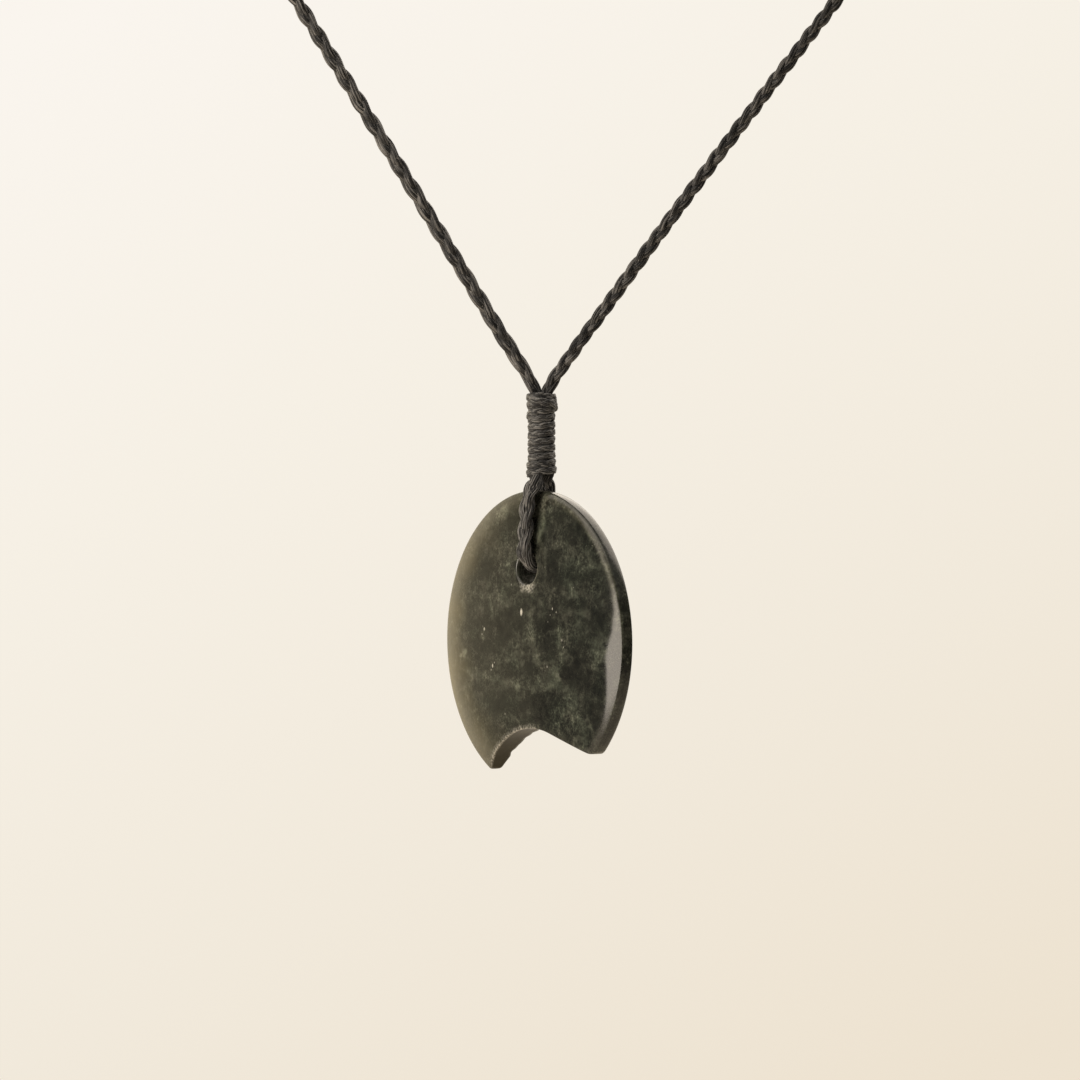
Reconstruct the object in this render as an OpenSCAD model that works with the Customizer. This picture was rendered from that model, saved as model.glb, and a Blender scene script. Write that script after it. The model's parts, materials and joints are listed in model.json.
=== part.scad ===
// Disc pendant of polished greenstone on a plaited cord, hung as it is worn.
// Millimetres. The origin is at the nape, where the cord rests on the neck.
// +Z is up and -Y is the wearer's front.

/* [Stone] */
// Diameter of the disc
stone_d = 44; // [36:1:60]
// Thickness in the middle
stone_t = 5; // [4:0.1:6]
// Thickness at the rim, measured where the two bevels would meet it
rim_t = 1.6; // [1.4:0.1:2.4]
// Width of the ground bevel round each face
bevel_w = 2.4; // [1.6:0.2:4]
// Rise of each face from the inner edge of the bevel to the middle
dome_rise = 0.8; // [0.3:0.1:1.2]
// Chamfer on the two edges of the rim band
rim_chamfer = 0.25; // [0.1:0.05:0.4]
// Turn of the disc about the vertical, away from facing the front
stone_turn = 54; // [0:1:90]

/* [Hole] */
// Diameter of the hole for the cord
hole_d = 4.6; // [4:0.2:6]
// Height of the hole above the disc's centre
hole_up = 10.6; // [10:0.1:14]
// Sideways place of the hole from the disc's centre
hole_side = 0.46; // [-1:0.02:1]
// Width of the chamfer at each mouth of the hole
hole_chamfer = 0.5; // [0.2:0.1:0.8]

/* [Notch] */
// Radius of the arc at the top of the notch
notch_r = 14.1; // [10:0.1:18]
// Distance from the disc's centre down to the top of the arc
notch_top = 12.7; // [11:0.1:16]
// Sideways place of the arc's centre
notch_side = -1.4; // [-3:0.1:3]
// Angle of the notch's straight flank below level
flank_angle = 23.8; // [15:0.1:35]
// Turn of the notch round the disc, from straight below the hole
notch_turn = 6.3; // [-10:0.1:10]
// Length trimmed off the horn at the arc's end
sharp_horn_cut = 0.3; // [0.2:0.1:1]
// Length trimmed off the horn at the flank's end
blunt_horn_cut = 0.6; // [0.3:0.1:1.2]

/* [Cord] */
// Width of the plaited cord round the neck
cord_w = 1.7; // [1.4:0.1:2]
// Thickness of the plaited cord
cord_t = 1.4; // [1.2:0.1:1.6]
// Width of the same cord where it lies slack over the stone
loop_w = 2.6; // [2:0.1:2.8]
// Thickness of that slack stretch
loop_t = 1.7; // [1.4:0.1:1.8]

/* [Binding] */
// Length of the whipped binding above the stone
binding_l = 12.4; // [8:0.1:16]
// Turns of thread in that binding
binding_turns = 11; // [6:1:16]
// Radius of the binding over its thread
binding_r = 2.2; // [2.1:0.05:2.6]
// How far the end turns stand out more than the others
end_turn_rise = 0.1; // [0:0.05:0.2]
// Sideways place of the binding from the hole
binding_side = 0.4; // [0:0.1:0.5]
// Length of the plain binding that closes the cord at the nape
nape_l = 16; // [10:1:20]
// Turns of thread in the nape binding
nape_turns = 14; // [8:1:20]
// Radius of the nape binding over its thread
nape_r = 1.8; // [1.6:0.1:2.4]

/* [Hidden] */
$fn = 96;
// Segments of the large arc that each domed face is turned from
arc_fn = 720;
// Sides of the swept cord
cord_sides = 8;
through = 20;

stone_r = stone_d / 2;
hole_r = hole_d / 2;
// Centre of the notch's arc, start of its straight flank and the flank's direction
arc_at = [notch_side, -notch_top - notch_r];
flank_at = arc_at + notch_r * [sin(flank_angle), cos(flank_angle)];
flank_way = [cos(flank_angle), -sin(flank_angle)];
// Direction in which both horns are trimmed square, and the size of the block that trims them
horn_way = -83;
trim = 8;
hole_at = [-6.4, -110, -145.6];

// The middle of the front face looks along face_out, and face_side runs level along the face
face_out = [-sin(stone_turn), -cos(stone_turn), 0];
face_side = [cos(stone_turn), -sin(stone_turn), 0];

stone_at = hole_at - hole_side * face_side - [0, 0, hole_up];
binding_at = [hole_at[0] + binding_side, hole_at[1], -120 - binding_l];
// Radius of the binding's bore along the cords and at its lower mouth, where they spread
bore_r = 1.78;
mouth_r = 2.12;
mouth_up = 2.2;
// Depth of the grooves between the turns of thread, and of the round edge at each end
groove = 0.2;
end_dip = 0.05;
nape_bore_r = 0.95;

// Front half of the loop of cord over the stone, from the hole up into the binding.
// Each row: out from the stone's middle plane, along the face, up from the hole's centre, then
// the shares of the slack cord's width and thickness.
loop_half = [
    [0, 0, 1.1, 0.96, 1.18],
    [1, 0.15, 1.1, 0.96, 1.18],
    [1.9, 0.3, 1.15, 0.96, 1.12],
    [2.45, 0.4, 1.35, 0.98, 1.1],
    [2.85, 0.5, 1.75, 1, 1.05],
    [3.1, 0.6, 2.4, 1, 1],
    [3.12, 0.6, 3.2, 1, 1],
    [3, 0.6, 4.3, 1, 1],
    [2.87, 0.6, 6.3, 1, 1],
    [2.78, 0.7, 8.5, 0.96, 1],
    [2.54, 0.7, 10, 0.96, 1],
    [2.23, 0.6, 11, 1, 1],
    [1.95, 0.6, 11.8, 1.03, 1],
    [1.65, 0.4, 12.4, 1, 0.98],
    [1.1, 0.1, 13.1, 0.88, 0.88],
    [1, -0.1, 14, 0.84, 0.85],
    [0.85, -0.3, 15.6, 0.77, 0.82],
    [0.69, -0.5, 17.4, 0.77, 0.82],
    [0.69, -0.5, 19.4, 0.77, 0.82]
];
// Heights above the hole between which the loop leans over to the binding's axis
lean_from = 10;
lean_to = 14;

// Left leg of the neck cord, from inside the binding up round the neck to the nape
left_route = [
    [-6.85, -110, -126.2],
    [-6.85, -110, -120],
    [-7.15, -110, -119.1],
    [-7.85, -110, -117.8],
    [-12, -110, -111.2],
    [-19.9, -110, -98.2],
    [-31, -110, -80.1],
    [-41.8, -110, -62.6],
    [-49, -108, -51],
    [-55, -102, -41],
    [-60, -93, -33],
    [-64, -81, -27],
    [-66, -66, -22],
    [-65, -50, -17],
    [-60, -35, -12],
    [-51, -21, -7.5],
    [-39, -10, -4],
    [-25, -3, -1.5],
    [-15, -0.6, -0.3],
    [-8, 0, 0],
    [0, 0, 0]
];
// Right leg of the neck cord, which leaves the binding at a wider angle
right_route = [
    [-5.15, -110, -126.2],
    [-5.15, -110, -120],
    [-4.85, -110, -119.1],
    [-4.1, -110, -117.8],
    [3.6, -110, -107.1],
    [14.4, -110, -92.4],
    [26.1, -110, -76.9],
    [37.1, -110, -62.6],
    [46, -108, -51],
    [53.5, -102, -41],
    [59.5, -93, -33],
    [64, -81, -27],
    [66, -66, -22],
    [65, -50, -17],
    [60, -35, -12],
    [51, -21, -7.5],
    [39, -10, -4],
    [25, -3, -1.5],
    [15, -0.6, -0.3],
    [8, 0, 0],
    [0, 0, 0]
];
// The cord lies flat against an upright neck whose axis passes through this point
neck_axis = [0, -50, 0];

function unit(v) = v / norm(v);

// Direction of a route at its point i
function heading(route, i) = unit(route[min(i + 1, len(route) - 1)] - route[max(i - 1, 0)]);

// One ring of an oval cord: across lies in the cord's width and flat is square to its width
function ring(at, along, flat, width, thick) =
    let (across = unit(cross(along, flat)), over = cross(across, along))
    [for (k = [0 : cord_sides - 1])
        at + across * width / 2 * cos(k * 360 / cord_sides) + over * thick / 2 * sin(k * 360 / cord_sides)];

// Direction square to the cord's width where it lies against the neck
function neck_flat(at) = unit([at[0] - neck_axis[0], at[1] - neck_axis[1], 0]);

// Shift along X that brings the loop from the hole to the binding's axis
function lean(up) = binding_side * min(max((up - lean_from) / (lean_to - lean_from), 0), 1);

// A row of loop_half in space, on the front of the stone (side = 1) or its back (side = -1)
function loop_point(row, side) =
    hole_at + side * (row[0] * face_out + row[1] * face_side) + [lean(row[2]), 0, row[2]];

// The rows of the whole loop: down the front, through the hole and up the back
loop_rows = concat(
    [for (i = [len(loop_half) - 1 : -1 : 0]) loop_half[i]],
    [for (i = [1 : len(loop_half) - 1]) loop_half[i]]
);

// The whole loop's route
function loop_route() =
    [for (i = [0 : len(loop_rows) - 1]) loop_point(loop_rows[i], i < len(loop_half) ? 1 : -1)];

// Where the notch's arc meets the rim: the tip of the sharper horn
function arc_tip() =
    let (reach = norm(arc_at),
        between = acos((reach * reach + stone_r * stone_r - notch_r * notch_r) / (2 * reach * stone_r)),
        angle = atan2(arc_at[1], arc_at[0]) - between)
    stone_r * [cos(angle), sin(angle)];

// Where the notch's flank meets the rim: the tip of the blunter horn
function flank_tip() =
    let (along = flank_at * flank_way,
        run = sqrt(along * along - flank_at * flank_at + stone_r * stone_r) - along)
    flank_at + run * flank_way;

// Radius of each turn of a binding: the end turns stand out by rise
function turn_r(i, turns, r, rise) = r + (i < 2 || i == turns - 1 ? rise : 0);

// A closed tube through rings of equal point count
module skin(rings) {
    n = len(rings[0]);
    last = len(rings) - 1;
    polyhedron(
        points = [for (r = rings) for (p = r) p],
        faces = concat(
            [[for (k = [0 : n - 1]) k]],
            [for (i = [0 : last - 1]) for (k = [0 : n - 1]) let (a = i * n, b = a + n, m = (k + 1) % n) each [
                [a + k, b + k, b + m],
                [a + k, b + m, a + m]
            ]],
            [[for (k = [n - 1 : -1 : 0]) last * n + k]]
        )
    );
}

// Half section of the disc: two shallow domes, cut by the bevels and the rim band
module disc_section() {
    inner = stone_r - bevel_w;
    inner_t = stone_t / 2 - dome_rise;
    dome_r = (inner * inner + dome_rise * dome_rise) / (2 * dome_rise);
    slope = (inner_t - rim_t / 2) / bevel_w;
    peak = inner_t + slope * inner;
    edge = inner_t - slope * (bevel_w - rim_chamfer);
    intersection() {
        translate([0, stone_t / 2 - dome_r]) circle(dome_r, $fn = arc_fn);
        translate([0, dome_r - stone_t / 2]) circle(dome_r, $fn = arc_fn);
        polygon([
            [0, peak],
            [stone_r - rim_chamfer, edge],
            [stone_r, edge - rim_chamfer],
            [stone_r, rim_chamfer - edge],
            [stone_r - rim_chamfer, -edge],
            [0, -peak]
        ]);
    }
}

// Plan of the notch: an arc on one side that runs into a straight flank on the other
module notch_plan() {
    far = flank_at + stone_d * flank_way;
    translate(arc_at) circle(notch_r);
    polygon([flank_at, far, [far[0], -2 * stone_d], [flank_at[0], -2 * stone_d]]);
}

// Block that takes the given length off a horn's tip
module horn_trimmer(tip, length) {
    translate(tip) rotate(horn_way) translate([-length, -trim / 2]) square(trim);
}

// One chamfered mouth of the hole, widening outwards from the face
module hole_mouth() {
    face = stone_t / 2 - dome_rise * pow(hole_up / (stone_r - bevel_w), 2);
    translate([hole_side, hole_up, face - hole_chamfer])
        cylinder(h = 2 * hole_chamfer, r1 = hole_r, r2 = hole_r + 2 * hole_chamfer);
}

// Domed disc with the hole for the cord above and the notch below
module stone() {
    color("#4c564c")
    translate(stone_at) rotate([90, 0, -stone_turn])
    difference() {
        rotate_extrude() disc_section();
        translate([hole_side, hole_up, -through / 2]) cylinder(h = through, r = hole_r);
        hole_mouth();
        mirror([0, 0, 1]) hole_mouth();
        rotate(notch_turn) translate([0, 0, -through / 2]) linear_extrude(through) notch_plan();
        rotate(notch_turn) translate([0, 0, -through / 2]) linear_extrude(through) {
            horn_trimmer(arc_tip(), sharp_horn_cut);
            horn_trimmer(flank_tip(), blunt_horn_cut);
        }
    }
}

// Cord from the binding over the stone's face, through the hole and back up behind
module cord_loop() {
    route = loop_route();
    color("#3b3836")
    skin([for (i = [0 : len(route) - 1])
        let (along = heading(route, i))
        ring(route[i], along, cross(face_side, along), loop_w * loop_rows[i][3], loop_t * loop_rows[i][4])]);
}

// Neck cord along one of the two routes
module neck_cord(route) {
    color("#3b3836")
    skin([for (i = [0 : len(route) - 1])
        ring(route[i], heading(route, i), neck_flat(route[i]), cord_w, cord_t)]);
}

// Sleeve of close turns of thread along +Z, with a lower mouth that may be wider than its bore
module whipping(length, turns, r, rise, inner_r, lower_r, lower_up) {
    pitch = length / turns;
    rotate_extrude()
    polygon(concat(
        [[lower_r, 0], [turn_r(0, turns, r, rise) - end_dip, 0]],
        [for (i = [0 : turns - 1]) let (out = turn_r(i, turns, r, rise)) each [
            [out, (i + 0.3) * pitch],
            [out, (i + 0.7) * pitch],
            [out - (i < turns - 1 ? groove : end_dip), (i + 1) * pitch]
        ]],
        [[inner_r, length], [inner_r, lower_up]]
    ));
}

// Whipped binding that holds the two runs of cord together above the stone
module binding() {
    color("#45413d")
    translate(binding_at)
    whipping(binding_l, binding_turns, binding_r, end_turn_rise, bore_r, mouth_r, mouth_up);
}

// Left leg of the cord
module neck_cord_left() {
    neck_cord(left_route);
}

// Right leg of the cord
module neck_cord_right() {
    neck_cord(right_route);
}

// Plain whipped closure in which the two legs meet at the nape
module nape_binding() {
    color("#45413d")
    translate([-nape_l / 2, 0, 0]) rotate([0, 90, 0])
    whipping(nape_l, nape_turns, nape_r, 0, nape_bore_r, nape_bore_r, 1);
}

stone();
cord_loop();
binding();
neck_cord_left();
neck_cord_right();
nape_binding();
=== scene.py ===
"""Looks of a greenstone disc pendant on a plaited cord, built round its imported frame. Metres, +Z up."""
import json
import logging
import math
from dataclasses import dataclass
from enum import Enum

import bpy
import numpy as np
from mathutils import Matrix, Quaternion, Vector, noise
from mathutils.geometry import delaunay_2d_cdt


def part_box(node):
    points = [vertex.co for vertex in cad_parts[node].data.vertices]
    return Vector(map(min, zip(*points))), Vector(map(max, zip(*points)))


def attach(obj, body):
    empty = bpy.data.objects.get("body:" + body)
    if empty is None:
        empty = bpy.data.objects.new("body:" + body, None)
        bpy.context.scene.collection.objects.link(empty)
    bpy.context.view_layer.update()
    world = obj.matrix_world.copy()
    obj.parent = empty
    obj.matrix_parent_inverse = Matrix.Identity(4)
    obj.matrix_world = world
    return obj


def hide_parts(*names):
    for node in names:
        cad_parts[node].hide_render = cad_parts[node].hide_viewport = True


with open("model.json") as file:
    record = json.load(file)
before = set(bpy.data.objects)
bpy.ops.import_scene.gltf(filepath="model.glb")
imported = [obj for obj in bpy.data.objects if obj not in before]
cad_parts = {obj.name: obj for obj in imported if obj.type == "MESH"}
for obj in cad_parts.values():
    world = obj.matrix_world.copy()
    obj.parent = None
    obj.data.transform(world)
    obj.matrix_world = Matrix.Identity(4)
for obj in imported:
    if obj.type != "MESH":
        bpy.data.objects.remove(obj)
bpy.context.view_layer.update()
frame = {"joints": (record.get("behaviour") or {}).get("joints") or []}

MM = 0.001
UP = Vector((0, 0, 1))
Socket = bpy.types.NodeSocket
Tree = bpy.types.NodeTree
log = logging.getLogger("pendant")


class Body(Enum):
    """The two bodies that pieces ride on."""

    CORD = "cord"
    STONE = "stone"


class Slot(Enum):
    """The record's material slots."""

    GREENSTONE = "greenstone"
    CORD = "plaited_cord"
    THREAD = "whipping_thread"


def linear(code: str) -> tuple[float, float, float, float]:
    """Turns a colour written as sRGB hex into linear values.

    Args:
        code: the colour, such as "#2b2e25".

    Returns:
        Linear red, green and blue, and full opacity.
    """
    parts = [int(code[i : i + 2], 16) / 255 for i in (1, 3, 5)]
    red, green, blue = (c / 12.92 if c <= 0.04045 else ((c + 0.055) / 1.055) ** 2.4 for c in parts)
    return red, green, blue, 1.0


def add(
    tree: Tree,
    kind: str,
    inputs: dict | tuple = (),
    out: int | str = 0,
    stops: dict[float, str] | None = None,
    **settings: object,
) -> Socket | None:
    """Adds one node to a tree.

    Args:
        tree: the shader or geometry tree.
        kind: the node's type.
        inputs: constants, or the outputs that feed them, in order or by name or number.
        out: name or number of the output that is wanted.
        stops: for a colour ramp, the colour in sRGB hex at each place, in rising order.
        settings: the node's own properties.

    Returns:
        The wanted output, where the node has any.
    """
    made = tree.nodes.new(kind)
    for name, value in settings.items():
        setattr(made, name, value)
    for key, value in inputs.items() if isinstance(inputs, dict) else enumerate(inputs):
        if isinstance(value, Socket):
            tree.links.new(value, made.inputs[key])
        else:
            made.inputs[key].default_value = value
    for i, (place, code) in enumerate((stops or {}).items()):
        elements = made.color_ramp.elements
        element = elements[i] if i < len(elements) else elements.new(place)
        element.position = place
        element.color = linear(code)
    return made.outputs[out] if made.outputs else None


def new_material(name: str) -> tuple[bpy.types.Material, Tree]:
    """Makes an empty node material.

    Args:
        name: the material's name.

    Returns:
        The material and its tree.
    """
    material = bpy.data.materials.new(name)
    material.use_nodes = True
    material.node_tree.nodes.clear()
    return material, material.node_tree


def linked(name: str, data: bpy.types.ID) -> bpy.types.Object:
    """Puts a mesh, light or camera in the scene.

    Args:
        name: the object's name.
        data: its mesh, light or camera.

    Returns:
        The object.
    """
    made = bpy.data.objects.new(name, data)
    bpy.context.scene.collection.objects.link(made)
    return made


def finished(piece: bpy.types.Object, body: Body, slot: Slot, *nodes: str) -> None:
    """Makes a piece ride on its body in place of CAD nodes, and reports it.

    Args:
        piece: the piece.
        body: the body that it rides on.
        slot: the record's slot for the piece; not used.
        nodes: the CAD nodes that it stands for.
    """
    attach(piece, body.value)
    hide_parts(*nodes)
    log.info("%s: %d faces", piece.name, len(piece.data.polygons))


def smooth_step(low: float, high: float, value: float) -> float:
    """Rises smoothly from 0 at low to 1 at high."""
    t = min(max((value - low) / (high - low), 0.0), 1.0)
    return t * t * (3 - 2 * t)


def ripples(points: np.ndarray, size: float, seed: float) -> np.ndarray:
    """Noise of one size at each point of the plane, about -1 to 1."""
    return np.array([noise.noise(Vector((x / size, y / size, seed))) for x, y in points])


def bearings(points: np.ndarray) -> np.ndarray:
    """Each point's angle about the origin in degrees, from -180 to 180."""
    return np.degrees(np.arctan2(points[:, 1], points[:, 0]))


def encloses(ring: np.ndarray, points: np.ndarray) -> np.ndarray:
    """Says which points lie inside a closed outline.

    Args:
        ring: the outline's corners, a row each.
        points: the points, a row each.

    Returns:
        True for each point inside.
    """
    within = np.zeros(len(points), bool)
    x, y = points.T
    for (ax, ay), (bx, by) in zip(ring, np.roll(ring, -1, 0)):
        if ay != by:
            within ^= ((ay > y) != (by > y)) & (x < ax + (y - ay) * (bx - ax) / (by - ay))
    return within


class Form(Enum):
    """How one layer of the stone's pattern is shaped."""

    CLOUD = "soft clouds"
    WEB = "thin pale lines between dark cells"
    FIBRE = "fine fibres, stronger in some patches than in others"


@dataclass(frozen=True)
class Layer:
    """One scale of the stone's pattern. Sizes in millimetres."""

    form: Form
    size: float
    strength: float
    upright: float
    detail: float
    roughness: float
    distortion: float


@dataclass(frozen=True)
class Patch:
    """A soft patch of the stone. Sizes in millimetres; hue runs from brown (-1) to green (1)."""

    along: float
    up: float
    wide: float
    high: float
    tone: float
    hue: float


@dataclass(frozen=True)
class Vein:
    """A pale vein: its half width in millimetres, its strength and hue, and the way it runs."""

    width: float
    tone: float
    hue: float
    way: tuple


@dataclass(frozen=True)
class Markings:
    """The stone's own large markings, and one stroke of painted light, in millimetres along its face and up
    it from its centre.
    """

    patches: tuple = (
        Patch(-6.1, 2.3, 4.2, 2.0, -0.16, -0.6),
        Patch(5.8, 1.2, 2.5, 2.6, -0.24, -0.6),
        Patch(13.2, -1.5, 2.7, 1.8, -0.2, -1.0),
        Patch(12.7, -4.4, 3.2, 1.6, -0.22, -0.8),
        Patch(18.2, -5.3, 2.6, 1.8, -0.12, 0.5),
        Patch(3.8, -9.0, 4.2, 2.1, -0.26, -0.6),
        Patch(1.3, -4.4, 4.5, 0.8, -0.18, -0.3),
        Patch(13.7, 15.4, 5.0, 1.4, -0.16, -0.1),
        Patch(6.8, 10.8, 3.0, 3.0, -0.16, -0.6),
        Patch(18.2, 3.8, 2.4, 1.5, -0.22, 0.4),
        Patch(16.7, -9.6, 2.0, 1.8, -0.18, 0.0),
        Patch(-13.0, 10.2, 4.5, 2.6, -0.12, -0.4),
        Patch(-2.2, 18.4, 2.5, 2.3, -0.14, 0.0),
        Patch(-11.0, -1.5, 3.6, 2.2, -0.1, -0.2),
        Patch(-5.0, -9.4, 4.0, 1.8, -0.14, 0.3),
        Patch(14.0, 1.2, 3.6, 3.0, 0.05, 1.0),
        Patch(12.0, 10.5, 4.0, 3.0, 0.07, 0.9),
        Patch(9.0, -10.8, 3.0, 2.4, 0.04, 0.8),
        Patch(-2.2, -2.4, 2.4, 1.6, 0.05, 0.5),
        Patch(-6.4, 18.3, 1.6, 1.4, 0.28, 0.1),
        Patch(4.4, 18.8, 2.0, 2.8, 0.16, 0.3),
        Patch(-15.6, -2.4, 0.9, 0.5, 0.4, 0.6),
        Patch(-7.6, 5.4, 2.6, 2.6, 0.1, 0.2),
        Patch(17.0, -1.6, 2.0, 1.4, 0.1, 0.4),
    )
    veins: tuple = (
        Vein(
            0.8, 0.2, 0.5,
            ((-13.5, -5.6), (-10.1, -5.4), (-6.1, -5.9), (-0.2, -7.0), (4.4, -6.6), (8.6, -5.4)),
        ),
        Vein(0.9, 0.22, 0.2, ((1.4, 3.6), (2.0, 0.4), (3.3, -2.6), (3.0, -3.6))),
        Vein(0.9, 0.16, 1.0, ((7.2, -4.4), (9.2, -6.4), (11.2, -8.4), (13.2, -11.7), (13.8, -14.2))),
        Vein(0.6, 0.18, 1.0, ((8.8, 1.6), (8.9, -1.6), (8.6, -4.0))),
        Vein(0.7, 0.14, 0.8, ((9.4, 13.6), (9.2, 10.6), (10.4, 8.6), (12.0, 6.6), (14.4, 3.6))),
        Vein(0.5, 0.26, 0.1, ((13.0, 18.0), (16.2, 16.4), (17.6, 13.6))),
        Vein(0.5, 0.16, 0.3, ((15.4, -3.0), (18.6, -2.6), (20.2, -5.0), (19.2, -8.2), (15.2, -7.4))),
        Vein(0.35, 0.3, 0.2, ((-10.3, 2.0), (-10.1, 0.4))),
        Vein(0.5, 0.16, 0.2, ((3.2, 15.4), (4.6, 11.6), (4.2, 8.6))),
        # Not a vein: painted light that lifts the shade cast by the cord loop on the face beside it.
        Vein(0.7, 0.3, 0.3, ((3.0, 20.8), (3.5, 17.0), (3.2, 15.4))),
        Vein(0.5, 0.12, 0.3, ((-8.4, 7.6), (-7.9, 3.8))),
        Vein(0.4, 0.12, 0.3, ((-5.6, 7.2), (-5.0, 4.4))),
    )
    greener_right: float = 0.5
    half_width: float = 20.0
    coarse_wander: float = 1.1
    fine_wander: float = 0.35

    def wander(self, points: np.ndarray, size: float, seed: float) -> np.ndarray:
        """Noise vectors of one size at each point of the plane."""
        return np.array([noise.noise_vector(Vector((x / size, y / size, seed)))[:2] for x, y in points])

    def at(self, points: np.ndarray) -> tuple[np.ndarray, np.ndarray]:
        """Adds up the markings, with ragged edges.

        Args:
            points: points of the disc's plane, a row each.

        Returns:
            The change of tone at each point, and its hue from brown (-1) to green (1).
        """
        moved = points + self.coarse_wander * self.wander(points, 2.4, 0.7)
        moved = moved + self.fine_wander * self.wander(points, 0.8, 2.7)
        tone = np.zeros(len(points))
        hue = np.clip(points[:, 0] / self.half_width, -1, 1) * self.greener_right
        for patch in self.patches:
            away = (moved - (patch.along, patch.up)) / (patch.wide, patch.high)
            share = np.exp(-((away**2).sum(1) ** 1.5))
            tone += patch.tone * share
            hue += patch.hue * share
        for vein in self.veins:
            share = np.zeros(len(points))
            for start, end in zip(vein.way, vein.way[1:]):
                a, b = np.array(start, float), np.array(end, float)
                t = np.clip((moved - a) @ (b - a) / ((b - a) @ (b - a)), 0, 1)
                away = np.hypot(*(moved - a - t[:, None] * (b - a)).T)
                share = np.maximum(share, np.exp(-((away / vein.width) ** 2)))
            tone += vein.tone * share
            hue += vein.hue * share
        return tone, np.clip(hue, -1, 1)


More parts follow.
